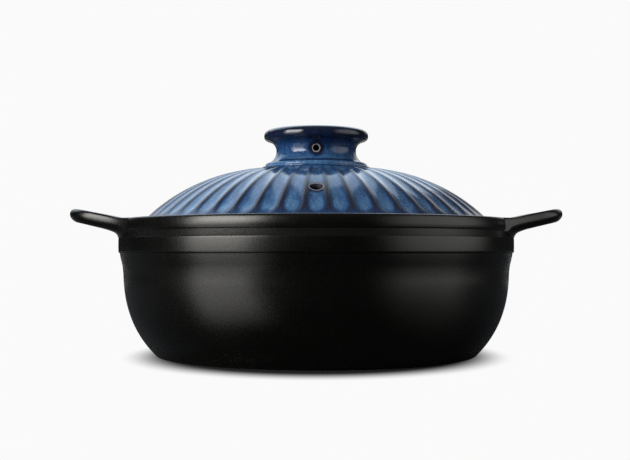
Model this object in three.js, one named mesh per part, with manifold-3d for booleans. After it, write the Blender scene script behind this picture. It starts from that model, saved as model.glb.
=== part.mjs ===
// Lidded stoneware casserole, in millimetres, +Z up.
// The origin is the centre of the foot on the table, the handles lie along X and the vents face -Y.
// The pot, its two lug handles, the lid's seating rim, its fluted dome and its knob are separate solids.

import * as THREE from "three";
import { mergeVertices } from "three/addons/utils/BufferGeometryUtils.js";
import Module from "manifold-3d";

// Pot: foot, bowl and floor
const POT_HEIGHT = 80.5;
const RIM_DIAMETER = 235;
const BASE_DIAMETER = 190;
const FOOT_WIDTH = 14;
const FOOT_RECESS = 1;
const FLOOR_HEIGHT = 5.5;
const FLOOR_ROUND = 9;
const FLOOR_KNEE = 16;
const WALL = 7;
const WALL_KNEE = 20;

// Pot: collar, neck and rolled lip, from the bowl upwards
const COVE_HEIGHT = 4.4;
const COLLAR_HEIGHT = 9.8;
const COLLAR_STEP = 2.8;
const COLLAR_ROUND = 1;
const NECK_HEIGHT = 5.2;
const NECK_DEPTH = 1.1;
const LIP_HEIGHT = 6.1;
const LIP_ROUND = 4;

// Pot: the ledge inside the mouth
const RIM_WIDTH = 10;
const RIM_CHAMFER = 2.5;
const LEDGE_DEPTH = 7;
const LEDGE_WIDTH = 8;
const LEDGE_THICKNESS = 5;

// Lug handles
const HANDLE_REACH = 30;
const HANDLE_ROOT_WIDTH = 77;
const HANDLE_TIP_WIDTH = 46;
const HANDLE_BOW = 5.2;
const HANDLE_CORNER = 8.5;
const HANDLE_TAPER = THREE.MathUtils.degToRad(22.6);
const HANDLE_THICKNESS = 8.4;
const HANDLE_ROUND = 3;
const HANDLE_SLOPE = THREE.MathUtils.degToRad(12);

// Lid: seating rim and dome, whose height is that of the crown over the dome's lower edge
const LID_PLAY = 2.5;
const LID_RIM_WIDTH = 11;
const LID_RIM_HEIGHT = 3.2;
const LID_RIM_CHAMFER = 1;
const LID_EDGE_HEIGHT = 1.9;
const LID_EDGE_ROUND = 1.5;
const LID_WALL = 7;
const DOME_HEIGHT = 33.7;
const DOME_ARC_RADIUS = 105;
const CROWN_MARGIN = 1.6;

// Lid: flutes, concave, with their depth at their outer ends
const FLUTE_COUNT = 48;
const FLUTE_DEPTH = 2;
const FLUTE_MARGIN = 6.5;
const FLUTE_END = 9;
const FLUTE_START = 14;

// Knob, from its foot on the crown upwards
const KNOB_HEIGHT = 23.7;
const KNOB_DIAMETER = 62.8;
const KNOB_FOOT_DIAMETER = 65;
const KNOB_FOOT_HEIGHT = 1.2;
const KNOB_BEAD_DIAMETER = 60.6;
const KNOB_BEAD_HEIGHT = 2.4;
const KNOB_NECK_DIAMETER = 48;
const KNOB_NECK_HEIGHT = 10.6;
const KNOB_FLARE = 3.8;
const KNOB_EDGE_HEIGHT = 6.6;
const KNOB_TOP_ROUND = 5.6;
const KNOB_DISH = 1.6;
const KNOB_WALL = 7;
const KNOB_TOP_WALL = 6.5;

// Vents
const STEAM_VENT_DIAMETER = 8.4;
const STEAM_VENT_REACH = 82.5;
const KNOB_VENT_DIAMETER = 3.8;
const KNOB_VENT_SINK = 0.9;

// Clearances: the slip seam between luted pieces, and the lid over its seat
const SEAM = 0.3;
const SEAT_GAP = 0.3;
const OVERCUT = 2;

// Fineness of the round surfaces
const POT_SEGMENTS = 64;
const LID_SEGMENTS = 64;
const KNOB_SEGMENTS = 40;
const VENT_SEGMENTS = 20;
const STEPS_PER_FLUTE = 4;
const DOME_ROWS = 9;
const ROW_CROWDING = 1.5;
const CURVE_STEPS = 4;

// Places that follow from the sizes
const rimRadius = RIM_DIAMETER / 2;
const baseRadius = BASE_DIAMETER / 2;
const bowlRadius = rimRadius - COLLAR_STEP;
const galleryRadius = rimRadius - RIM_WIDTH;
const ledgeRadius = galleryRadius - LEDGE_WIDTH;
const ledgeHeight = POT_HEIGHT - LEDGE_DEPTH;
const lidRadius = galleryRadius - LID_PLAY;
const lidInnerRadius = lidRadius - LID_RIM_WIDTH;
const domeFoot = LID_RIM_HEIGHT + SEAM;
const crownHeight = domeFoot + DOME_HEIGHT;
const crownRadius = KNOB_FOOT_DIAMETER / 2 + CROWN_MARGIN;
const neckRadius = KNOB_NECK_DIAMETER / 2;
const boreRadius = neckRadius - KNOB_WALL;
const handleRound = Math.min(HANDLE_ROUND, HANDLE_THICKNESS / 2 - SEAM);

const blackGlaze = new THREE.MeshStandardMaterial({ color: 0x1b1b19, roughness: 0.5 });
const blueGlaze = new THREE.MeshStandardMaterial({ color: 0x2b4f86, roughness: 0.15 });
const bareClay = new THREE.MeshStandardMaterial({ color: 0xb09c84, roughness: 0.85 });

const wasm = await Module();
wasm.setup();

// A closed geometry as a solid that can be cut
function solidOf(geometry) {
  const bare = geometry.clone();
  bare.deleteAttribute("normal");
  bare.deleteAttribute("uv");
  const merged = mergeVertices(bare, 1e-3);
  const mesh = new wasm.Mesh({
    numProp: 3,
    vertProperties: merged.getAttribute("position").array,
    triVerts: new Uint32Array(merged.index.array),
  });
  return new wasm.Manifold(mesh);
}

// A cut solid as a geometry
function geometryOf(solid) {
  const mesh = solid.getMesh();
  const geometry = new THREE.BufferGeometry();
  geometry.setAttribute("position", new THREE.BufferAttribute(mesh.vertProperties, 3));
  geometry.setIndex(new THREE.BufferAttribute(mesh.triVerts, 1));
  geometry.computeVertexNormals();
  return geometry;
}

// A profile of radius and height, turned about the Z axis from -Y
function turned(points, segments) {
  return new THREE.LatheGeometry(points, segments).rotateX(Math.PI / 2);
}

// An outline moved outwards by a gap, square to itself at each point
function grown(points, gap) {
  return points.map((point, i) => {
    const before = points[Math.max(i - 1, 0)];
    const after = points[Math.min(i + 1, points.length - 1)];
    const along = after.clone().sub(before).normalize();
    return new THREE.Vector2(point.x + along.y * gap, point.y - along.x * gap);
  });
}

// The arc of a given radius that bulges upwards between the outer and the inner end of a profile
function archBetween(outer, inner, radius) {
  const halfSpan = outer.distanceTo(inner) / 2;
  const along = inner.clone().sub(outer).normalize();
  const drop = Math.sqrt(radius ** 2 - halfSpan ** 2);
  const centre = outer.clone().add(inner).multiplyScalar(0.5);
  centre.add(new THREE.Vector2(-along.y, along.x).multiplyScalar(drop));
  const from = outer.clone().sub(centre).angle();
  const to = inner.clone().sub(centre).angle();
  return new THREE.EllipseCurve(centre.x, centre.y, radius, radius, from, to, false);
}

// The pot's outside, from the edge of the foot up to the crest of the lip
function potOutside() {
  const lipFoot = POT_HEIGHT - LIP_HEIGHT;
  const collarTop = lipFoot - NECK_HEIGHT;
  const collarFoot = collarTop - COLLAR_HEIGHT;
  const coveFoot = collarFoot - COVE_HEIGHT;
  const hollowRadius = rimRadius - NECK_DEPTH;
  const path = new THREE.Path();
  path.moveTo(baseRadius, 0);
  path.quadraticCurveTo(bowlRadius, WALL_KNEE, bowlRadius, coveFoot);
  path.quadraticCurveTo(bowlRadius, collarFoot, rimRadius - COLLAR_ROUND, collarFoot);
  path.lineTo(rimRadius, collarFoot + COLLAR_ROUND);
  path.lineTo(rimRadius, collarTop - COLLAR_ROUND);
  path.lineTo(hollowRadius, collarTop);
  path.lineTo(hollowRadius, lipFoot);
  path.quadraticCurveTo(rimRadius, lipFoot, rimRadius, lipFoot + LIP_HEIGHT / 3);
  path.quadraticCurveTo(rimRadius, POT_HEIGHT, rimRadius - LIP_ROUND, POT_HEIGHT);
  return path.getPoints(CURVE_STEPS);
}

// The pot's inside, from the lip's inner edge over the ledge and down to the floor's centre
function potInside() {
  const innerRadius = bowlRadius - WALL;
  const ledgeUnderside = ledgeHeight - LEDGE_THICKNESS;
  const path = new THREE.Path();
  path.moveTo(galleryRadius + RIM_CHAMFER, POT_HEIGHT);
  path.lineTo(galleryRadius, POT_HEIGHT - RIM_CHAMFER);
  path.lineTo(galleryRadius, ledgeHeight);
  path.lineTo(ledgeRadius, ledgeHeight);
  path.lineTo(ledgeRadius, ledgeUnderside);
  path.lineTo(innerRadius, ledgeUnderside - (innerRadius - ledgeRadius));
  path.bezierCurveTo(
    innerRadius, FLOOR_KNEE,
    baseRadius, FLOOR_HEIGHT,
    baseRadius - FLOOR_ROUND, FLOOR_HEIGHT,
  );
  path.lineTo(0, FLOOR_HEIGHT);
  return path.getPoints(2 * CURVE_STEPS);
}

// The hollow under the foot, from the axis out to the foot's flat ring
function potFoot() {
  const footInner = baseRadius - FOOT_WIDTH;
  return [
    new THREE.Vector2(0, FOOT_RECESS),
    new THREE.Vector2(footInner - FOOT_RECESS, FOOT_RECESS),
    new THREE.Vector2(footInner, 0),
  ];
}

function potGeometry() {
  return turned([...potFoot(), ...potOutside(), ...potInside()], POT_SEGMENTS);
}

// A lug on the +X side: a slab with rounded edges that slopes up from the lip, cut to the pot's outside
function handleGeometry() {
  const halfWidth = (reach) => HANDLE_ROOT_WIDTH / 2 - Math.tan(HANDLE_TAPER) * reach;
  const tip = HANDLE_REACH;
  const tipHalf = HANDLE_TIP_WIDTH / 2;
  const corner = tip - HANDLE_CORNER;
  const bend = corner - HANDLE_CORNER;
  const back = -rimRadius / 2;
  const shelf = new THREE.Shape();
  shelf.moveTo(back, -halfWidth(back));
  shelf.lineTo(bend, -halfWidth(bend));
  shelf.quadraticCurveTo(corner, -halfWidth(corner), tip - HANDLE_BOW, -tipHalf);
  shelf.quadraticCurveTo(tip, -tipHalf / 2, tip, 0);
  shelf.quadraticCurveTo(tip, tipHalf / 2, tip - HANDLE_BOW, tipHalf);
  shelf.quadraticCurveTo(corner, halfWidth(corner), bend, halfWidth(bend));
  shelf.lineTo(back, halfWidth(back));
  shelf.closePath();
  const slab = new THREE.ExtrudeGeometry(shelf, {
    depth: HANDLE_THICKNESS - 2 * handleRound,
    bevelThickness: handleRound,
    bevelSize: handleRound,
    bevelOffset: -handleRound,
    bevelSegments: 3,
    curveSegments: CURVE_STEPS,
  });
  slab.translate(0, 0, handleRound - HANDLE_THICKNESS);
  slab.rotateY(-HANDLE_SLOPE);
  slab.computeBoundingBox();
  slab.translate(rimRadius + HANDLE_REACH - slab.boundingBox.max.x, 0, POT_HEIGHT);
  const outside = grown(potOutside(), SEAM);
  const axisFoot = new THREE.Vector2(0, outside[0].y);
  const axisTop = new THREE.Vector2(0, POT_HEIGHT + OVERCUT);
  const lipTop = new THREE.Vector2(outside[outside.length - 1].x, POT_HEIGHT + OVERCUT);
  const pot = turned([axisFoot, ...outside, lipTop, axisTop], POT_SEGMENTS);
  return geometryOf(solidOf(slab).subtract(solidOf(pot)));
}

// The bare ring at the lid's foot, with its outer lower edge taken off
function lidRimGeometry() {
  const points = [
    new THREE.Vector2(lidInnerRadius, 0),
    new THREE.Vector2(lidRadius - LID_RIM_CHAMFER, 0),
    new THREE.Vector2(lidRadius, LID_RIM_CHAMFER),
    new THREE.Vector2(lidRadius, LID_RIM_HEIGHT),
    new THREE.Vector2(lidInnerRadius, LID_RIM_HEIGHT),
    new THREE.Vector2(lidInnerRadius, 0),
  ];
  return turned(points, LID_SEGMENTS);
}

// The dome's outer arc, along the ridges between the flutes
function domeArch() {
  const edge = new THREE.Vector2(lidRadius - LID_EDGE_ROUND, domeFoot + LID_EDGE_HEIGHT);
  const crown = new THREE.Vector2(crownRadius, crownHeight);
  return archBetween(edge, crown, DOME_ARC_RADIUS);
}

// How deep the flutes are at a radius and an angle from -Y: scoops with round ends and narrow ridges
function fluteDepth(radius, angle) {
  const outerEnd = lidRadius - FLUTE_MARGIN;
  const turns = (angle * FLUTE_COUNT) / (2 * Math.PI);
  const across = 2 * (turns - Math.round(turns));
  const nearRim = Math.max(0, (radius - outerEnd + FLUTE_END) / FLUTE_END);
  const nearKnob = Math.max(0, (crownRadius + FLUTE_START - radius) / FLUTE_START);
  const scoop = Math.max(0, 1 - across ** 2 - nearRim ** 2 - nearKnob ** 2);
  return ((FLUTE_DEPTH * radius) / outerEnd) * scoop;
}

// The dome's outside as a full solid, with its upper surface scooped into flutes
function flutedDome(arch) {
  const centre = new THREE.Vector2(arch.aX, arch.aY);
  const skin = [];
  for (let row = 0; row <= DOME_ROWS; row += 1) {
    skin.push(arch.getPoint((row / DOME_ROWS) ** ROW_CROWDING));
  }
  const foot = [
    new THREE.Vector2(0, domeFoot),
    new THREE.Vector2(lidRadius, domeFoot),
    new THREE.Vector2(lidRadius, domeFoot + LID_EDGE_HEIGHT - LID_EDGE_ROUND),
  ];
  const profile = [...foot, ...skin, new THREE.Vector2(0, crownHeight)];
  const segments = FLUTE_COUNT * STEPS_PER_FLUTE;
  const dome = new THREE.LatheGeometry(profile, segments);
  const position = dome.getAttribute("position");
  for (let step = 0; step <= segments; step += 1) {
    const angle = (step * 2 * Math.PI) / segments;
    skin.forEach((point, row) => {
      const inwards = centre.clone().sub(point).normalize();
      const sunk = point.clone().addScaledVector(inwards, fluteDepth(point.x, angle));
      const index = step * profile.length + foot.length + row;
      position.setXYZ(index, sunk.x * Math.sin(angle), sunk.y, sunk.x * Math.cos(angle));
    });
  }
  return dome.rotateX(Math.PI / 2);
}

// The hollow under the dome, with the round way up into the knob
function domeHollow(arch) {
  const radius = arch.xRadius - LID_WALL;
  const angleAt = (reach) => Math.acos((reach - arch.aX) / radius);
  const from = angleAt(lidInnerRadius);
  const to = angleAt(crownRadius);
  const under = new THREE.EllipseCurve(arch.aX, arch.aY, radius, radius, from, to, false);
  const underside = under.getPoints(CURVE_STEPS + 2);
  const ceiling = underside[underside.length - 1].y;
  const points = [
    new THREE.Vector2(0, domeFoot - OVERCUT),
    new THREE.Vector2(lidInnerRadius, domeFoot - OVERCUT),
    ...underside,
    new THREE.Vector2(boreRadius, ceiling),
    new THREE.Vector2(boreRadius, crownHeight + OVERCUT),
    new THREE.Vector2(0, crownHeight + OVERCUT),
  ];
  return turned(points, LID_SEGMENTS);
}

// The steam vent, square to the dome in the flute that faces -Y
function steamVent(arch) {
  const lean = Math.asin((STEAM_VENT_REACH - arch.aX) / arch.xRadius);
  const height = arch.aY + arch.xRadius * Math.cos(lean);
  const radius = STEAM_VENT_DIAMETER / 2;
  const drill = new THREE.CylinderGeometry(radius, radius, 2 * (LID_WALL + OVERCUT), VENT_SEGMENTS);
  drill.rotateX(Math.PI / 2 + lean);
  return drill.translate(0, -STEAM_VENT_REACH, height);
}

function domeGeometry() {
  const arch = domeArch();
  const shell = solidOf(flutedDome(arch)).subtract(solidOf(domeHollow(arch)));
  return geometryOf(shell.subtract(solidOf(steamVent(arch))));
}

// The knob's profile, from the roof of its hollow round to the middle of its dished top
function knobProfile() {
  const footRadius = KNOB_FOOT_DIAMETER / 2;
  const beadRadius = KNOB_BEAD_DIAMETER / 2;
  const topRadius = KNOB_DIAMETER / 2;
  const beadTop = KNOB_FOOT_HEIGHT + KNOB_BEAD_HEIGHT;
  const flareRadius = neckRadius + KNOB_FLARE;
  const edgeFoot = KNOB_HEIGHT - KNOB_EDGE_HEIGHT;
  const edgeRadius = (flareRadius + topRadius) / 2;
  const dish = KNOB_HEIGHT - KNOB_DISH;
  const roof = dish - KNOB_TOP_WALL;
  const path = new THREE.Path();
  path.moveTo(0, roof);
  path.lineTo(boreRadius, roof);
  path.lineTo(boreRadius, 0);
  path.lineTo(footRadius, 0);
  path.lineTo(footRadius, KNOB_FOOT_HEIGHT);
  path.lineTo(beadRadius, KNOB_FOOT_HEIGHT);
  path.quadraticCurveTo(beadRadius, beadTop, flareRadius, beadTop);
  path.quadraticCurveTo(neckRadius, (beadTop + KNOB_NECK_HEIGHT) / 2, neckRadius, KNOB_NECK_HEIGHT);
  path.quadraticCurveTo(neckRadius, edgeFoot - KNOB_FLARE / 3, edgeRadius, edgeFoot);
  path.quadraticCurveTo(topRadius, edgeFoot + KNOB_FLARE / 3, topRadius, edgeFoot + KNOB_FLARE);
  path.quadraticCurveTo(topRadius, KNOB_HEIGHT, topRadius - KNOB_TOP_ROUND, KNOB_HEIGHT);
  path.quadraticCurveTo(topRadius / 2, dish, 0, dish);
  return path.getPoints(CURVE_STEPS);
}

// The knob's small vent, with its mouth sunk wider, through the side of the neck that faces -Y
function knobVent() {
  const radius = KNOB_VENT_DIAMETER / 2;
  const sink = 2 * KNOB_VENT_SINK;
  const drill = new THREE.CylinderGeometry(radius, radius, 2 * KNOB_WALL + OVERCUT, VENT_SEGMENTS);
  const cone = new THREE.CylinderGeometry(radius, radius + sink, sink, VENT_SEGMENTS);
  const cut = solidOf(drill.translate(0, -neckRadius, KNOB_NECK_HEIGHT));
  return cut.add(solidOf(cone.translate(0, -neckRadius, KNOB_NECK_HEIGHT)));
}

function knobGeometry() {
  return geometryOf(solidOf(turned(knobProfile(), KNOB_SEGMENTS)).subtract(knobVent()));
}

function piece(name, geometry, material) {
  const mesh = new THREE.Mesh(geometry, material);
  mesh.name = name;
  return mesh;
}

const rightHandle = piece("right_handle", handleGeometry(), blackGlaze);
const leftHandle = piece("left_handle", rightHandle.geometry, blackGlaze);
leftHandle.rotation.z = Math.PI;

const pot = new THREE.Group();
pot.add(piece("pot_body", potGeometry(), blackGlaze), leftHandle, rightHandle);

const knob = piece("lid_knob", knobGeometry(), blueGlaze);
knob.position.z = crownHeight + SEAM;

const lid = new THREE.Group();
lid.position.z = ledgeHeight + SEAT_GAP;
lid.add(piece("lid_rim", lidRimGeometry(), bareClay), piece("lid_dome", domeGeometry(), blueGlaze), knob);

const casserole = new THREE.Group();
casserole.add(pot, lid);

export default casserole;
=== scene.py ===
import math

import bmesh
import bpy
from mathutils import Matrix, Vector
from mathutils.geometry import interpolate_bezier


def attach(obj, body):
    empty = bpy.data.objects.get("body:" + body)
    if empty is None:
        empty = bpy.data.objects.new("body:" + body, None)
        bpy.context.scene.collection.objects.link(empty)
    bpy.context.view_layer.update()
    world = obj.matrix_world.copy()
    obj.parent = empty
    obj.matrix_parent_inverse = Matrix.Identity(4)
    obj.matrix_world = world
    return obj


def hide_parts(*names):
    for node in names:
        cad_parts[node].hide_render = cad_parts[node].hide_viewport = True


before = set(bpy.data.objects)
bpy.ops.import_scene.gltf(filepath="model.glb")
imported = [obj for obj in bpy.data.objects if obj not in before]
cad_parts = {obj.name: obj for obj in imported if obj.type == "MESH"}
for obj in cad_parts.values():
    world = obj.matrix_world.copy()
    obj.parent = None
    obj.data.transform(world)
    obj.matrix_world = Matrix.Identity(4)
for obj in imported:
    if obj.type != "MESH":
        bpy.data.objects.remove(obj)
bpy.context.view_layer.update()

# Every size is in millimetres in the frame of the solids, and MM turns it into metres.
MM = 0.001
FULL_TURN = 2 * math.pi
POT_STEPS = 256
KNOB_STEPS = 192
VENT_STEPS = 72

# The pot, from the table up.
POT_TOP = 80.5
POT_RADIUS = 117.5
MOUTH_RADIUS = 107.5

# The two lug handles.
LUG_ROOT = 112.0
LUG_ROOT_HALF = 44.5
LUG_THICKNESS = 7.8
LUG_SIDE_EDGE = 1.4
LUG_TIP_EDGE = 4.2
LUG_UNDER_EDGE = 4.5
LUG_FILLET = 3.4
LUG_FILLET_REACH = 1.1
LUG_FLARE = 5.0
LUG_CLIMB = 0.40
LUG_CLIMB_EASED = 0.16

# The fluted dome of the lid.
DOME_FOOT = 77.3
DOME_RADIUS = 105.0
DOME_ARC = 105.0
DOME_ARC_CENTRE = Vector((27.9, 6.1))
DOME_WALL = 7.0
DOME_BORE = 17.0
CROWN_RADIUS = 34.1
CROWN_HEIGHT = 111.0
EDGE_RADIUS = 103.5
EDGE_HEIGHT = 79.2
DOME_ROWS = 68
FLUTES = 48
STEPS_PER_FLUTE = 14
FLUTE_DEPTH = 1.1
FLUTE_OUTER = 102.4
FLUTE_END = 8.0
FLUTE_START = 14.0
FLUTE_ROUNDNESS = 2.3

# How much glaze lies on the dome, from 0 where it is thinnest to 1 where it is milky. The ridges near the
# crown are painted lighter, a painted sheen.
RIDGE_TONE = 0.32
# How much lighter the ridges near the crown are painted than those lower down: painted sheen.
RIDGE_CROWN_SHEEN = 0.28
RIDGE_AT_FOOT = 0.26
FLUTE_TONE = 0.54
FLUTE_POOLED = 0.16
INSIDE_TONE = 0.34

# The knob, whose profile is measured from its own foot.
KNOB_FOOT = 111.0
KNOB_TOP = 135.0
# How much glaze lies on the knob at each height from its foot. Near the foot this also holds painted
# light: the beads and the band above them are lighter, partly pooled glaze and partly painted highlight.
KNOB_GLAZE_AND_LIGHT = (
    (0.00, 0.30),
    (0.05, 0.62),
    (0.12, 0.66),
    # Painted shade: a dark line in the crease between the beads and the neck.
    (0.163, 0.06),
    (0.21, 0.56),
    (0.30, 0.44),
    (0.45, 0.36),
    (0.62, 0.24),
    (0.74, 0.08),
    (0.97, 0.06),
    (1.00, 0.24),
)

# The vents: one in the front flute of the dome, one in the knob's neck.
VENT_LIP = 0.5
STEAM_VENT = Vector((0, -81.3, 96.2))
STEAM_VENT_LEAN = math.radians(30.6)
STEAM_VENT_RADIUS = 3.4
KNOB_VENT = Vector((0, -24, 121.9))
KNOB_VENT_LEAN = math.radians(90)
KNOB_VENT_RADIUS = 1.65

# The studio, in metres.
LAMPS_AIM = Vector((0, 0, 0.08))
TABLE_RADIUS = 1.2
# Inner and outer size of the oval of painted shadow round the pot, where the near-black table shows to
# the camera.
SHADOW_NEAR = 0.106
SHADOW_FAR = 0.142
CAMERA_PLACE = (-0.0007, -0.65, 0.060)
CAMERA_TILT = math.radians(1.278)
CAMERA_LENS = 61.5
WHITE = (0.955, 0.955, 0.955, 1)


def point(radius, height):
    """One point of a profile."""
    return Vector((radius, height))


def bend(profile, pull, end, steps=8):
    """Carries a profile on along a smooth bend that is drawn towards pull."""
    start = profile[-1]
    first = start.lerp(Vector(pull), 2 / 3)
    second = Vector(end).lerp(Vector(pull), 2 / 3)
    profile.extend(interpolate_bezier(start, first, second, Vector(end), steps + 1)[1:])


def run(profile, *points):
    """Carries a profile on through corners, in straight lines."""
    profile.extend(point(*p) for p in points)


def arc(profile, centre, radius, first, last, steps):
    """Carries a profile on along an arc, between two distances from the pot's axis."""
    start = math.asin((first - centre.x) / radius)
    end = math.asin((last - centre.x) / radius)
    for step in range(1, steps + 1):
        lean = start + (end - start) * step / steps
        run(profile, (centre.x + radius * math.sin(lean), centre.y + radius * math.cos(lean)))


def eased(value, low, high):
    """0 below low, 1 above high, and a smooth climb between them."""
    share = min(1.0, max(0.0, (value - low) / (high - low)))
    return share * share * (3 - 2 * share)


def thrown(profile, steps, ring=False):
    """Turns a profile about the pot's axis, as on a wheel."""
    form = bmesh.new()
    row = [form.verts.new((0, -p.x * MM, p.y * MM)) for p in profile]
    pairs = list(zip(row, row[1:]))
    if ring:
        pairs.append((row[-1], row[0]))
    edges = [form.edges.new(pair) for pair in pairs]
    bmesh.ops.spin(
        form,
        geom=row + edges,
        cent=(0, 0, 0),
        axis=(0, 0, 1),
        angle=FULL_TURN,
        steps=steps,
        use_merge=True,
    )
    bmesh.ops.remove_doubles(form, verts=form.verts[:], dist=2e-6)
    bmesh.ops.recalc_face_normals(form, faces=form.faces[:])
    return form


def placed(name, form, *materials):
    """Makes a finished form an object with its materials."""
    data = bpy.data.meshes.new(name)
    form.to_mesh(data)
    form.free()
    for material in materials:
        data.materials.append(material)
    data.shade_smooth()
    piece = bpy.data.objects.new(name, data)
    bpy.context.collection.objects.link(piece)
    return piece


def pierced(piece, cutter):
    """Cuts a vent through a piece with a turned cutter, which is used up."""
    name = piece.name
    cut = piece.modifiers.new("vent", "BOOLEAN")
    cut.operation = "DIFFERENCE"
    cut.solver = "EXACT"
    cut.object = cutter
    whole = piece.data
    seen = piece.evaluated_get(bpy.context.evaluated_depsgraph_get())
    piece.data = bpy.data.meshes.new_from_object(seen)
    piece.modifiers.clear()
    bpy.data.meshes.remove(whole)
    bpy.data.objects.remove(cutter)
    piece.data.name = name
    piece.data.shade_smooth()


def vent_cutter(name, radius, reach, glaze):
    """A round punch along +Z, flared where it leaves the surface so that the vent's edge is soft."""
    profile = [point(0, -reach)]
    run(profile, (radius, -reach), (radius, -VENT_LIP))
    bend(profile, (radius, 0), (radius + VENT_LIP, VENT_LIP * 0.55), 6)
    wide = radius + VENT_LIP * 1.6
    run(profile, (wide, VENT_LIP * 0.8), (wide, VENT_LIP * 3), (0, VENT_LIP * 3))
    return placed(name, thrown(profile, VENT_STEPS), glaze)


# Shader helpers: one line of code for each node and its links.
def node(tree, kind, **values):
    """Adds a node, sets its properties, and sets or links its inputs by name or index."""
    made = tree.nodes.new(kind)
    for name, value in values.pop("setup", {}).items():
        setattr(made, name, value)
    for key, value in values.pop("inputs", {}).items():
        if isinstance(value, bpy.types.NodeSocket):
            tree.links.new(value, made.inputs[key])
        else:
            made.inputs[key].default_value = value
    return made


def maths(tree, operation, first, second=0.0, third=0.0):
    """The result of one sum on two or three values."""
    setup = {"operation": operation}
    return node(tree, "ShaderNodeMath", setup=setup, inputs={0: first, 1: second, 2: third}).outputs[0]


def spread(tree, value, low, high, to_low=0.0, to_high=1.0, smooth=False):
    """A value carried from one range to another and held at its ends."""
    setup = {"interpolation_type": "SMOOTHSTEP" if smooth else "LINEAR"}
    inputs = {0: value, 1: low, 2: high, 3: to_low, 4: to_high}
    return node(tree, "ShaderNodeMapRange", setup=setup, inputs=inputs).outputs[0]


def vector_maths(tree, operation, first, second=(0, 0, 0)):
    """The results of one sum on two vectors."""
    setup = {"operation": operation}
    return node(tree, "ShaderNodeVectorMath", setup=setup, inputs={0: first, 1: second}).outputs


def axes(tree, vector):
    """The X, Y and Z of a vector."""
    return node(tree, "ShaderNodeSeparateXYZ", inputs={0: vector}).outputs


def blended(tree, factor, first, second):
    """Two colours mixed by a factor."""
    mixer = node(tree, "ShaderNodeMix", setup={"data_type": "RGBA"})
    for socket, value in ((mixer.inputs[0], factor), (mixer.inputs[6], first), (mixer.inputs[7], second)):
        if isinstance(value, bpy.types.NodeSocket):
            tree.links.new(value, socket)
        else:
            socket.default_value = value
    return mixer.outputs[2]


def speckle(tree, where, scale, detail=3.0, roughness=0.6, lumps=0.0):
    """A fine noise over the surface, from 0 to 1."""
    inputs = {
        "Vector": where,
        "Scale": scale,
        "Detail": detail,
        "Roughness": roughness,
        "Distortion": lumps,
    }
    return node(tree, "ShaderNodeTexNoise", inputs=inputs).outputs["Fac"]


def ramp(tree, value, *stops):
    """A colour for each value, through the stops given as (place, colour)."""
    made = node(tree, "ShaderNodeValToRGB", inputs={0: value})
    steps = made.color_ramp.elements
    while len(steps) < len(stops):
        steps.new(0.5)
    for step, (place, colour) in zip(steps, stops):
        step.position = place
        step.color = (*colour, 1)
    return made.outputs[0]


def material(name):
    """A new material with its shader, its surface coordinates and its tree."""
    made = bpy.data.materials.new(name)
    made.use_nodes = True
    tree = made.node_tree
    shader = tree.nodes["Principled BSDF"]
    where = node(tree, "ShaderNodeTexCoord").outputs["Object"]
    return made, tree, shader, where


def bumped(tree, shader, height, strength, distance):
    """Raises the surface by a height, for grain too fine to model."""
    inputs = {"Height": height, "Strength": strength, "Distance": distance}
    tree.links.new(node(tree, "ShaderNodeBump", inputs=inputs).outputs[0], shader.inputs["Normal"])


def group(name, inputs, outputs):
    """A shader node group with named sockets, and its two ends."""
    made = bpy.data.node_groups.new(name, "ShaderNodeTree")
    for socket, kind in inputs:
        made.interface.new_socket(socket, in_out="INPUT", socket_type=kind)
    for socket, kind in outputs:
        made.interface.new_socket(socket, in_out="OUTPUT", socket_type=kind)
    start = made.nodes.new("NodeGroupInput")
    end = made.nodes.new("NodeGroupOutput")
    return made, start, end


THIN_GLAZE = (0.010, 0.010, 0.024)
COBALT = (0.009, 0.038, 0.122)
MID_BLUE = (0.038, 0.110, 0.255)
MILKY_BLUE = (0.098, 0.228, 0.412)
PALE_BLUE = (0.230, 0.390, 0.550)
# The pale ring at each vent's edge: a bare edge on the dome's vent, a painted highlight on the rim of the
# knob's vent.
BARE_EDGE_AND_RIM_GLINT = (0.56, 0.53, 0.57, 1)
CLAY = (0.52, 0.42, 0.34)
CLAY_DARK = (0.36, 0.27, 0.20)


def running_glaze():
    """The blue glaze that breaks dark where it is thin and milky where it has run together."""
    made, start, end = group(
        "Running blue glaze",
        [("Pool", "NodeSocketFloat"), ("Run", "NodeSocketVector"), ("Where", "NodeSocketVector")],
        [("Color", "NodeSocketColor"), ("Roughness", "NodeSocketFloat"), ("Height", "NodeSocketFloat")],
    )
    run_along = start.outputs["Run"]
    where = start.outputs["Where"]
    streaks = speckle(made, run_along, 420, 4.0, 0.62)
    curdle = speckle(made, where, 900, 3.0, 0.65, 0.8)
    specks = speckle(made, where, 1700, 2.0, 0.6)
    uneven = maths(made, "MULTIPLY_ADD", streaks, 0.75, -0.375)
    uneven = maths(made, "MULTIPLY_ADD", curdle, 0.70, maths(made, "SUBTRACT", uneven, 0.35))
    uneven = maths(made, "MULTIPLY_ADD", specks, 0.70, maths(made, "SUBTRACT", uneven, 0.35))
    uneven = maths(made, "MULTIPLY", uneven, spread(made, start.outputs["Pool"], 0.05, 0.55, 0.45, 1.0))
    thick = maths(made, "ADD", start.outputs["Pool"], uneven)
    colour = ramp(
        made,
        thick,
        (0.05, THIN_GLAZE),
        (0.26, COBALT),
        (0.52, MID_BLUE),
        (0.80, MILKY_BLUE),
        (1.00, PALE_BLUE),
    )
    made.links.new(colour, end.inputs["Color"])
    gloss = spread(made, thick, 0.0, 1.0, 0.07, 0.16)
    made.links.new(gloss, end.inputs["Roughness"])
    made.links.new(maths(made, "MULTIPLY_ADD", curdle, 0.5, streaks), end.inputs["Height"])
    return made


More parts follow.
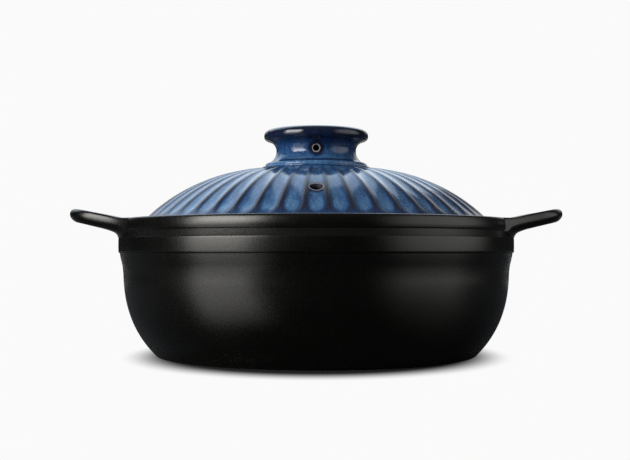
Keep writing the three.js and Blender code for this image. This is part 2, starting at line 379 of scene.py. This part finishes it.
def clay_grain():
    """Fired clay with fine sand in it."""
    made, start, end = group(
        "Fired clay grain",
        [("Where", "NodeSocketVector")],
        [("Color", "NodeSocketColor"), ("Height", "NodeSocketFloat")],
    )
    sand = speckle(made, start.outputs["Where"], 1400, 4.0, 0.7)
    tone = speckle(made, start.outputs["Where"], 60, 3.0, 0.55)
    mixed = maths(made, "MULTIPLY_ADD", sand, 0.7, maths(made, "MULTIPLY", tone, 0.5))
    colour = ramp(made, mixed, (0.35, CLAY_DARK), (0.70, CLAY))
    made.links.new(colour, end.inputs["Color"])
    made.links.new(sand, end.inputs["Height"])
    return made


def glaze_skin():
    """The slow waviness and fine orange peel of a fired glaze."""
    made, start, end = group(
        "Glaze skin",
        [("Where", "NodeSocketVector")],
        [("Wave", "NodeSocketFloat"), ("Peel", "NodeSocketFloat")],
    )
    made.links.new(speckle(made, start.outputs["Where"], 45, 2.0, 0.5), end.inputs["Wave"])
    made.links.new(speckle(made, start.outputs["Where"], 700, 3.0, 0.55), end.inputs["Peel"])
    return made


RUNNING_GLAZE = running_glaze()
CLAY_GRAIN = clay_grain()
GLAZE_SKIN = glaze_skin()


def use(tree, made, **inputs):
    """Places a node group and links its inputs."""
    placed_group = node(tree, "ShaderNodeGroup", setup={"node_tree": made}, inputs=inputs)
    return placed_group.outputs


def black_glaze():
    """The satin black of the pot and its lugs."""
    made, tree, shader, where = material("satin_black_glaze")
    skin = use(tree, GLAZE_SKIN, Where=where)
    tone = maths(tree, "MULTIPLY_ADD", skin["Peel"], 0.5, maths(tree, "MULTIPLY", skin["Wave"], 0.5))
    colour = ramp(tree, tone, (0.35, (0.0006, 0.0006, 0.0005)), (0.68, (0.0020, 0.0019, 0.0016)))
    tree.links.new(colour, shader.inputs["Base Color"])
    tree.links.new(spread(tree, tone, 0.3, 0.7, 0.24, 0.30), shader.inputs["Roughness"])
    shader.inputs["Specular Tint"].default_value = (1, 0.985, 0.93, 1)
    bumped(tree, shader, tone, 0.12, 0.0004)
    return made


def vent_rings(tree, where, centre, lean, radius):
    """Masks for a vent: its bore, the pale ring at its edge (a bare edge, and on the knob a painted
    highlight), and the darker glaze in and round it: inside the bore that darkness is painted shade,
    round it thin glaze.
    """
    setup = {"vector_type": "TEXTURE"}
    inputs = {"Vector": where, "Location": centre * MM, "Rotation": (lean, 0, 0)}
    local = node(tree, "ShaderNodeMapping", setup=setup, inputs=inputs).outputs[0]
    flat = vector_maths(tree, "MULTIPLY", local, (1, 1, 0))["Vector"]
    away = vector_maths(tree, "LENGTH", flat)["Value"]
    ragged = maths(tree, "MULTIPLY_ADD", speckle(tree, where, 500), 0.8 * MM, -0.4 * MM)
    distance = maths(tree, "ADD", away, ragged)
    near = spread(tree, axes(tree, local)["Z"], -12 * MM, -9 * MM)
    masks = []
    # Limits of the bore, of the pale ring at its edge, and of the darker glaze: painted shade inside the
    # bore, thin glaze round it.
    for full, gone in ((0.1, 0.3), (0.6, 1.0), (1.4, 3.6)):
        ring = spread(tree, distance, (radius + full) * MM, (radius + gone) * MM, 1.0, 0.0)
        masks.append(maths(tree, "MULTIPLY", near, ring))
    return masks


def blue_glaze(name, pool_and_light, run_along, dry, vent, lean, radius):
    """A blue glazed material, given how its glaze has pooled with painted light laid into it, how dry it
    is where thin, and its vent.
    """
    made, tree, shader, where = material(name)
    bore_mask, edge_mask, bore_shade_and_thin_glaze_mask = vent_rings(tree, where, vent, lean, radius)
    # Pale ring at the vent's edge: bare edge on the dome, painted highlight on the knob's rim.
    bare_edge_and_glint_mask = maths(tree, "MULTIPLY", maths(tree, "SUBTRACT", edge_mask, bore_mask), 0.5)
    depth = pool_and_light(tree, where)
    # The glaze is made darker in the bore as painted shade, and thin round the vent.
    thickness = maths(tree, "SUBTRACT", depth, maths(tree, "MULTIPLY", bore_shade_and_thin_glaze_mask, 0.5))
    glaze = use(tree, RUNNING_GLAZE, Pool=thickness, Run=run_along(tree, where), Where=where)
    skin = use(tree, GLAZE_SKIN, Where=where)
    tree.links.new(blended(tree, bare_edge_and_glint_mask, glaze["Color"], BARE_EDGE_AND_RIM_GLINT), shader.inputs["Base Color"])
    dryness = maths(tree, "ADD", glaze["Roughness"], spread(tree, depth, 0.12, 0.50, dry, 0.0))
    rough = maths(tree, "MULTIPLY_ADD", edge_mask, 0.6, dryness)
    tree.links.new(rough, shader.inputs["Roughness"])
    height = maths(tree, "MULTIPLY_ADD", skin["Wave"], 2.0, glaze["Height"])
    bumped(tree, shader, height, 0.10, 0.0004)
    return made


def dome_pool_and_sheen(tree, where):
    """The dome's own record of how deep each spot lies in its flute, with the painted sheen on the ridges
    near the crown.
    """
    return node(tree, "ShaderNodeAttribute", setup={"attribute_name": "pool_and_light"}).outputs["Fac"]


def dome_run(tree, where):
    """Coordinates that follow each flute down the dome."""
    return node(tree, "ShaderNodeAttribute", setup={"attribute_name": "run_down"}).outputs["Vector"]


def knob_pool_and_light(tree, where):
    """Thin glaze on the flange, thicker glaze down the neck, with painted highlights and painted shade
    round the beads at its foot.
    """
    height = spread(tree, axes(tree, where)["Z"], KNOB_FOOT * MM, KNOB_TOP * MM)
    return ramp(tree, height, *((place, (tone,) * 3) for place, tone in KNOB_GLAZE_AND_LIGHT))


def knob_run(tree, where):
    """Coordinates stretched down the knob, so that its glaze streaks."""
    setup = {"vector_type": "POINT"}
    inputs = {"Vector": where, "Scale": (1, 1, 0.45)}
    return node(tree, "ShaderNodeMapping", setup=setup, inputs=inputs).outputs[0]


def bare_clay():
    """The wiped clay of the lid's seat and the pot's foot."""
    made, tree, shader, where = material("bare_clay")
    grain = use(tree, CLAY_GRAIN, Where=where)
    tree.links.new(grain["Color"], shader.inputs["Base Color"])
    tree.links.new(spread(tree, grain["Height"], 0.3, 0.7, 0.72, 0.9), shader.inputs["Roughness"])
    bumped(tree, shader, grain["Height"], 0.3, 0.0003)
    return made


BLACK = black_glaze()
BARE_CLAY = bare_clay()
DOME_BLUE = blue_glaze(
    "fluted_blue_glaze", dome_pool_and_sheen, dome_run, 0.22, STEAM_VENT, STEAM_VENT_LEAN, STEAM_VENT_RADIUS
)
KNOB_BLUE = blue_glaze(
    "knob_blue_glaze", knob_pool_and_light, knob_run, 0.0, KNOB_VENT, KNOB_VENT_LEAN, KNOB_VENT_RADIUS
)


def pot():
    """The pot: foot, rounded wall, collar, rolled lip, and the ledge that the lid sits on."""
    profile = [point(0, 1.0)]
    run(profile, (78, 1.0))
    bend(profile, (80.4, 1.0), (81, 0.0), 4)
    run(profile, (94.0, 0.0))
    bend(profile, (95.2, 0.0), (96.0, 1.0), 5)
    bend(profile, (113.6, 18.6), (114.5, 46.5), 40)
    bend(profile, (114.7, 51.5), (115.4, 54.4), 8)
    bend(profile, (116.25, 57.8), (116.6, 59.8), 8)
    run(profile, (116.7, 60.6))
    bend(profile, (116.72, 60.7), (117.0, 60.73), 4)
    bend(profile, (117.38, 60.77), (117.45, 60.95), 4)
    bend(profile, (117.65, 65.0), (117.5, 68.95), 10)
    bend(profile, (117.48, 69.2), (117.34, 69.4), 4)
    bend(profile, (116.55, 71.3), (115.88, 73.04), 8)
    run(profile, (115.85, 73.1), (115.9, 73.16))
    bend(profile, (116.2, 73.5), (116.28, 74.2), 5)
    bend(profile, (116.38, 75.0), (116.38, 75.6), 6)
    bend(profile, (116.35, 77.6), (115.85, 79.3), 8)
    bend(profile, (115.5, 80.5), (114.2, POT_TOP), 6)
    run(profile, (112.6, POT_TOP))
    bend(profile, (108.6, 80.5), (107.6, 77.6), 10)
    run(profile, (MOUTH_RADIUS, 74.3))
    bend(profile, (MOUTH_RADIUS, 73.5), (106.6, 73.5), 5)
    run(profile, (100.6, 73.5))
    bend(profile, (99.5, 73.5), (99.5, 72.4), 5)
    bend(profile, (99.5, 68.5), (103.0, 65.4), 6)
    bend(profile, (107.4, 61.5), (107.7, 56.0), 8)
    sweep = (profile[-1], point(107.7, 16), point(95, 5.5), point(84, 5.5))
    profile.extend(interpolate_bezier(*sweep, 33)[1:])
    run(profile, (40, 5.5), (0, 5.5))
    form = thrown(profile, POT_STEPS)
    foot = 0.01 * MM
    for face in form.faces:
        face.material_index = int(all(corner.co.z < foot for corner in face.verts))
    return placed("thrown_pot", form, BLACK, BARE_CLAY)


def lug_outline():
    """Half a lug's outline in plan, from its flared root in the wall out to the middle of its tip."""
    root = point(math.sqrt(LUG_ROOT ** 2 - LUG_ROOT_HALF ** 2), LUG_ROOT_HALF)
    outline = []
    for step in range(25):
        spot = root.lerp(point(130.5, 33.1), step / 24)
        flare = LUG_FLARE / POT_RADIUS * math.exp((POT_RADIUS - spot.length) / LUG_FLARE)
        outline.append(Matrix.Rotation(flare, 2) @ spot)
    bend(outline, (139.0, 29.6), (142.3, 23.0), 12)
    bend(outline, (147.5, 11.5), (147.5, 0.0), 14)
    return outline


def lug_plan(along, across, outline):
    """A spot in the lug's plan, on the line from its root in the wall to its outline."""
    place = (1 - abs(across)) * (len(outline) - 1)
    first = min(int(place), len(outline) - 2)
    end = outline[first].lerp(outline[first + 1], place - first)
    end.y = math.copysign(end.y, across)
    turn = across * math.atan2(outline[0].y, outline[0].x)
    return point(LUG_ROOT * math.cos(turn), LUG_ROOT * math.sin(turn)).lerp(end, along)


def lug_inset(spot, outline):
    """How far a spot in the lug's plan lies inside its outline."""
    mirrored = point(spot.x, abs(spot.y))
    nearest = LUG_UNDER_EDGE
    for start, end in zip(outline, outline[1:]):
        side = end - start
        share = min(1.0, max(0.0, (mirrored - start).dot(side) / side.length_squared))
        nearest = min(nearest, (start + side * share - mirrored).length)
    return nearest


def lug_rise(reach):
    """How far the lug has climbed over the lip, quickly at first and then more gently."""
    first = math.log1p(math.exp(reach - 2.2))
    later = 1.5 * math.log1p(math.exp((reach - 6.0) / 1.5))
    return LUG_CLIMB * first - LUG_CLIMB_EASED * later


def lug(name, side):
    """A lug handle: a slab that rises to its tip, with round edges and a soft root under it."""
    form = bmesh.new()
    bmesh.ops.create_grid(form, x_segments=64, y_segments=100, size=1.0)
    outline = lug_outline()
    for corner in form.verts:
        along = math.sin((corner.co.x + 1) * math.pi / 4)
        corner.co.xy = lug_plan(along, corner.co.y, outline) * MM
    bmesh.ops.solidify(form, geom=form.faces[:], thickness=LUG_THICKNESS * MM)
    bmesh.ops.recalc_face_normals(form, faces=form.faces[:])
    middle = sum(corner.co.z for corner in form.verts) / len(form.verts)
    for corner in form.verts:
        spot = corner.co.xy / MM
        inside = lug_inset(spot, outline)
        above = corner.co.z > middle
        reach = spot.length - POT_RADIUS
        top_edge = LUG_SIDE_EDGE + (LUG_TIP_EDGE - LUG_SIDE_EDGE) * eased(reach, 16, 27)
        share = min(1.0, inside / (top_edge if above else LUG_UNDER_EDGE))
        half = LUG_THICKNESS / 2 * math.sqrt(1 - (1 - share) ** 2)
        height = POT_TOP - LUG_THICKNESS / 2 + lug_rise(reach) + (half if above else -half)
        if not above:
            height -= LUG_FILLET * math.exp(-max(0.0, reach) / LUG_FILLET_REACH)
        corner.co.z = height * MM
    bmesh.ops.remove_doubles(form, verts=form.verts[:], dist=2e-6)
    bmesh.ops.recalc_face_normals(form, faces=form.faces[:])
    bmesh.ops.rotate(form, verts=form.verts[:], cent=(0, 0, 0), matrix=Matrix.Rotation(side, 3, "Z"))
    return placed(name, form, BLACK)


def seat_ring():
    """The bare ring under the lid, with eased edges."""
    profile = [point(105, 77.2)]
    run(profile, (105, 75.0))
    bend(profile, (105, 73.8), (103.8, 73.8), 5)
    run(profile, (95.0, 73.8))
    bend(profile, (94, 73.8), (94, 74.8), 5)
    run(profile, (94, 77.3), (96, 77.6), (104, 77.6), (104.6, 77.4))
    return placed("bare_seat_ring", thrown(profile, POT_STEPS, ring=True), BARE_CLAY)


def flute_place(x, y):
    """Radius, turn about the axis, and place across the flute from -0.5 to 0.5."""
    turn = math.atan2(x, -y)
    flute = turn * FLUTES / FULL_TURN
    return math.hypot(x, y), turn, flute - round(flute)


def scoop(radius, across):
    """How far inside its flute a spot lies, from 0 at the edge to 1 along the middle."""
    side = abs(2 * across) ** FLUTE_ROUNDNESS
    rim = max(0.0, (radius - (FLUTE_OUTER - FLUTE_END)) / FLUTE_END)
    crown = max(0.0, (CROWN_RADIUS + FLUTE_START - radius) / FLUTE_START)
    return max(0.0, 1 - side - rim ** 2 - crown ** 2)


def dome():
    """The dome: scooped flutes outside, a plain vault inside, and the bore under the knob."""
    profile = [point(DOME_BORE, 104.0)]
    run(profile, (34, 104.0))
    arc(profile, DOME_ARC_CENTRE, DOME_ARC - DOME_WALL, 34, 94, 14)
    run(profile, (94, DOME_FOOT), (DOME_RADIUS, DOME_FOOT), (DOME_RADIUS, 77.8))
    bend(profile, (DOME_RADIUS, 78.8), (EDGE_RADIUS, EDGE_HEIGHT), 6)
    arc(profile, DOME_ARC_CENTRE, DOME_ARC, EDGE_RADIUS, CROWN_RADIUS, DOME_ROWS)
    run(profile, (30, CROWN_HEIGHT), (DOME_BORE, CROWN_HEIGHT))
    form = thrown(profile, FLUTES * STEPS_PER_FLUTE, ring=True)
    for corner in form.verts:
        x, y, z = corner.co / MM
        radius, turn, across = flute_place(x, y)
        from_centre = point(radius, z) - DOME_ARC_CENTRE
        if from_centre.length < DOME_ARC - 0.2 or radius < CROWN_RADIUS:
            continue
        inside = scoop(radius, across)
        depth = FLUTE_DEPTH * (0.25 + radius / 130) * inside ** 2 / (inside + 0.1)
        from_centre *= (from_centre.length - depth) / from_centre.length
        out = DOME_ARC_CENTRE + from_centre
        corner.co = Vector((math.sin(turn) * out.x, -math.cos(turn) * out.x, out.y)) * MM
    piece = placed("fluted_dome", form, DOME_BLUE)
    cutter = vent_cutter("steam_punch", STEAM_VENT_RADIUS, 14, DOME_BLUE)
    lean = Matrix.Translation(STEAM_VENT * MM) @ Matrix.Rotation(STEAM_VENT_LEAN, 4, "X")
    cutter.data.transform(lean)
    pierced(piece, cutter)
    pooled(piece)
    return piece


def pooled(piece):
    """Records on the dome how its glaze has run, pooled low in the flutes and thin on the ridges, with a
    painted sheen that lightens the ridges near the crown.
    """
    pool_and_light, down = [], []
    for corner in piece.data.vertices:
        x, y, z = corner.co / MM
        radius, turn, across = flute_place(x, y)
        outside = (point(radius, z) - DOME_ARC_CENTRE).length > DOME_ARC - 3.2
        flute = eased(scoop(radius, across), 0.26, 0.90)
        # Ridges near the crown are painted lighter as a painted sheen; lower down they are thin, dark
        # glaze.
        ridge = RIDGE_TONE - RIDGE_CROWN_SHEEN * eased(radius, 60, 84)
        ridge += RIDGE_AT_FOOT * eased(radius, FLUTE_OUTER - 6, FLUTE_OUTER + 0.5)
        hollow = FLUTE_TONE + FLUTE_POOLED * eased(radius, FLUTE_OUTER - 14, FLUTE_OUTER - 4)
        pool_and_light.append(ridge + (hollow - ridge) * flute if outside else INSIDE_TONE)
        down.extend((0.09 * math.sin(turn), -0.09 * math.cos(turn), radius * MM * 0.35))
    piece.data.attributes.new("pool_and_light", "FLOAT", "POINT").data.foreach_set("value", pool_and_light)
    piece.data.attributes.new("run_down", "FLOAT_VECTOR", "POINT").data.foreach_set("vector", down)


def knob():
    """The flared hollow knob, with two beads at its foot and a small vent in its neck."""
    profile = [point(17, 0)]
    run(profile, (32.0, 0))
    bend(profile, (32.6, 0.1), (32.5, 0.9), 4)
    bend(profile, (32.2, 1.6), (30.6, 1.5), 4)
    bend(profile, (30.9, 2.0), (30.4, 2.8), 4)
    bend(profile, (29.8, 3.9), (28.0, 3.7), 5)
    bend(profile, (24, 6.9), (24, 10.6), 16)
    bend(profile, (24, 15.9), (29.6, 17.2), 16)
    bend(profile, (31.4, 17.9), (31.4, 19.6), 8)
    bend(profile, (31.4, 21.2), (30.9, 21.9), 6)
    bend(profile, (29.6, 23.7), (25.8, 24.0), 10)
    bend(profile, (15.7, 22.4), (0, 22.4), 16)
    run(profile, (0, 15.9), (14, 15.9))
    bend(profile, (17, 15.9), (17, 12.9), 6)
    for spot in profile:
        spot.y += KNOB_FOOT
    form = thrown(profile, KNOB_STEPS, ring=True)
    piece = placed("flared_knob", form, KNOB_BLUE)
    cutter = vent_cutter("knob_punch", KNOB_VENT_RADIUS, 12, KNOB_BLUE)
    facing = Matrix.Translation(KNOB_VENT * MM) @ Matrix.Rotation(KNOB_VENT_LEAN, 4, "X")
    cutter.data.transform(facing)
    pierced(piece, cutter)
    return piece


def studio():
    """White floor and background, a key box with a bright core on the left, and a wide panel behind."""
    scene = bpy.context.scene
    scene.view_settings.view_transform = "Standard"
    softbox("key_box", -54, 14, 1.25, (0.84, 0.74), 4.4)
    softbox("key_core", -49, 19, 1.2, (0.80, 0.46), 5.6)
    softbox("back_panel", -162, 45, 1.5, (2.1, 0.96), 1.32, (0.72, 0.92, 1.13))
    floor()
    surroundings(scene)
    camera(scene)


def softbox(name, azimuth, elevation, distance, size, brightness, colour=(1, 1, 1)):
    """A soft lamp at an angle from the camera's side, facing the pot."""
    lamp = bpy.data.lights.new(name, "AREA")
    lamp.shape = "RECTANGLE"
    lamp.size, lamp.size_y = size
    lamp.energy = brightness * math.pi * size[0] * size[1]
    lamp.color = colour
    light = bpy.data.objects.new(name, lamp)
    bpy.context.collection.objects.link(light)
    turn, lift = math.radians(azimuth), math.radians(elevation)
    away = Vector((math.sin(turn) * math.cos(lift), -math.cos(turn) * math.cos(lift), math.sin(lift)))
    light.location = LAMPS_AIM + away * distance
    light.rotation_euler = away.to_track_quat("Z", "Y").to_euler()


def background_rays(tree):
    """Masks for rays from the camera, and for those by way of a reflection or a see-through surface."""
    path = node(tree, "ShaderNodeLightPath").outputs
    mirrored = maths(tree, "MAXIMUM", path["Is Glossy Ray"], path["Is Transmission Ray"])
    return path["Is Camera Ray"], mirrored


def floor():
    """A table that glows white to the camera, with its near-black colour showing as a painted shadow in
    an oval round the pot, and white in reflections far behind.
    """
    form = bmesh.new()
    bmesh.ops.create_circle(form, cap_ends=True, segments=96, radius=TABLE_RADIUS)
    made, tree, shader, where = material("white_table")
    # The table's own colour is near black. Round the pot it shows to the camera as a painted shadow, and
    # in reflections it is dark.
    shader.inputs["Base Color"].default_value = (0.05, 0.05, 0.05, 1)
    depth = axes(tree, where)["Y"]
    tree.links.new(spread(tree, depth, -0.12, 0.02, 0.15, 0.9), shader.inputs["Roughness"])
    glow = node(tree, "ShaderNodeEmission", inputs={"Color": WHITE, "Strength": 1.0})
    narrowed = vector_maths(tree, "MULTIPLY", where, (1.22, 1, 1))["Vector"]
    away = vector_maths(tree, "LENGTH", narrowed)["Value"]
    # Where the camera sees the table glow white; inside this oval the near-black table is the painted
    # shadow.
    outside_painted_shadow = spread(tree, away, SHADOW_NEAR, SHADOW_FAR, smooth=True)
    far_table = spread(tree, depth, 0.7, 1.1)
    camera_ray, mirrored = background_rays(tree)
    outside_painted_shadow = maths(tree, "MULTIPLY", outside_painted_shadow, camera_ray)
    factor = maths(tree, "MULTIPLY_ADD", far_table, mirrored, outside_painted_shadow)
    inputs = {0: factor, 1: shader.outputs[0], 2: glow.outputs[0]}
    mixed = node(tree, "ShaderNodeMixShader", inputs=inputs)
    tree.links.new(mixed.outputs[0], tree.nodes["Material Output"].inputs["Surface"])
    table = placed("white_table", form, made)


def surroundings(scene):
    """A dim room, lighter on the right and overhead, with a white background behind the pot."""
    world = bpy.data.worlds.new("studio")
    world.use_nodes = True
    scene.world = world
    tree = world.node_tree
    direction = node(tree, "ShaderNodeTexCoord").outputs["Generated"]
    toward = axes(tree, direction)
    room = tree.nodes["Background"]
    room.inputs["Color"].default_value = (1, 1, 1, 1)
    right = vector_maths(tree, "DOT_PRODUCT", direction, (0.951, -0.273, 0.148))["Value"]
    glow = spread(tree, right, 0.77, 0.98, 0.0, 1.35, smooth=True)
    level = maths(tree, "ADD", glow, spread(tree, toward["Z"], 0.2, 1.0, 0.02, 0.15))
    tree.links.new(level, room.inputs["Strength"])
    white = node(tree, "ShaderNodeBackground", inputs={"Color": WHITE, "Strength": 1.0})
    back = spread(tree, toward["Y"], 0.70, 0.88)
    behind = maths(tree, "MULTIPLY", back, spread(tree, toward["Z"], 0.12, 0.28))
    camera_ray, mirrored = background_rays(tree)
    factor = maths(tree, "MAXIMUM", camera_ray, maths(tree, "MULTIPLY", mirrored, behind))
    inputs = {0: factor, 1: room.outputs[0], 2: white.outputs[0]}
    mixed = node(tree, "ShaderNodeMixShader", inputs=inputs)
    tree.links.new(mixed.outputs[0], tree.nodes["World Output"].inputs["Surface"])


def camera(scene):
    """A long lens level with the belly of the pot, tipped up a little."""
    lens = bpy.data.cameras.new("photo_camera")
    lens.lens = CAMERA_LENS
    lens.sensor_width = 36
    holder = bpy.data.objects.new("photo_camera", lens)
    bpy.context.collection.objects.link(holder)
    holder.location = CAMERA_PLACE
    holder.rotation_euler = (math.pi / 2 + CAMERA_TILT, 0, 0)
    scene.camera = holder


def assemble():
    """Makes each piece, sets it on its body, and hides the solid it stands for."""
    made = (
        (pot(), "pot", "pot_body", "black_glaze"),
        (lug("right_lug", 0.0), "pot", "right_handle", "black_glaze"),
        (lug("left_lug", math.pi), "pot", "left_handle", "black_glaze"),
        (seat_ring(), "lid_seat", "lid_rim", "bare_clay"),
        (dome(), "lid", "lid_dome", "blue_glaze"),
        (knob(), "lid", "lid_knob", "blue_glaze"),
    )
    for piece, body, solid, slot in made:
        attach(piece, body)
        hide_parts(solid)


assemble()
studio()
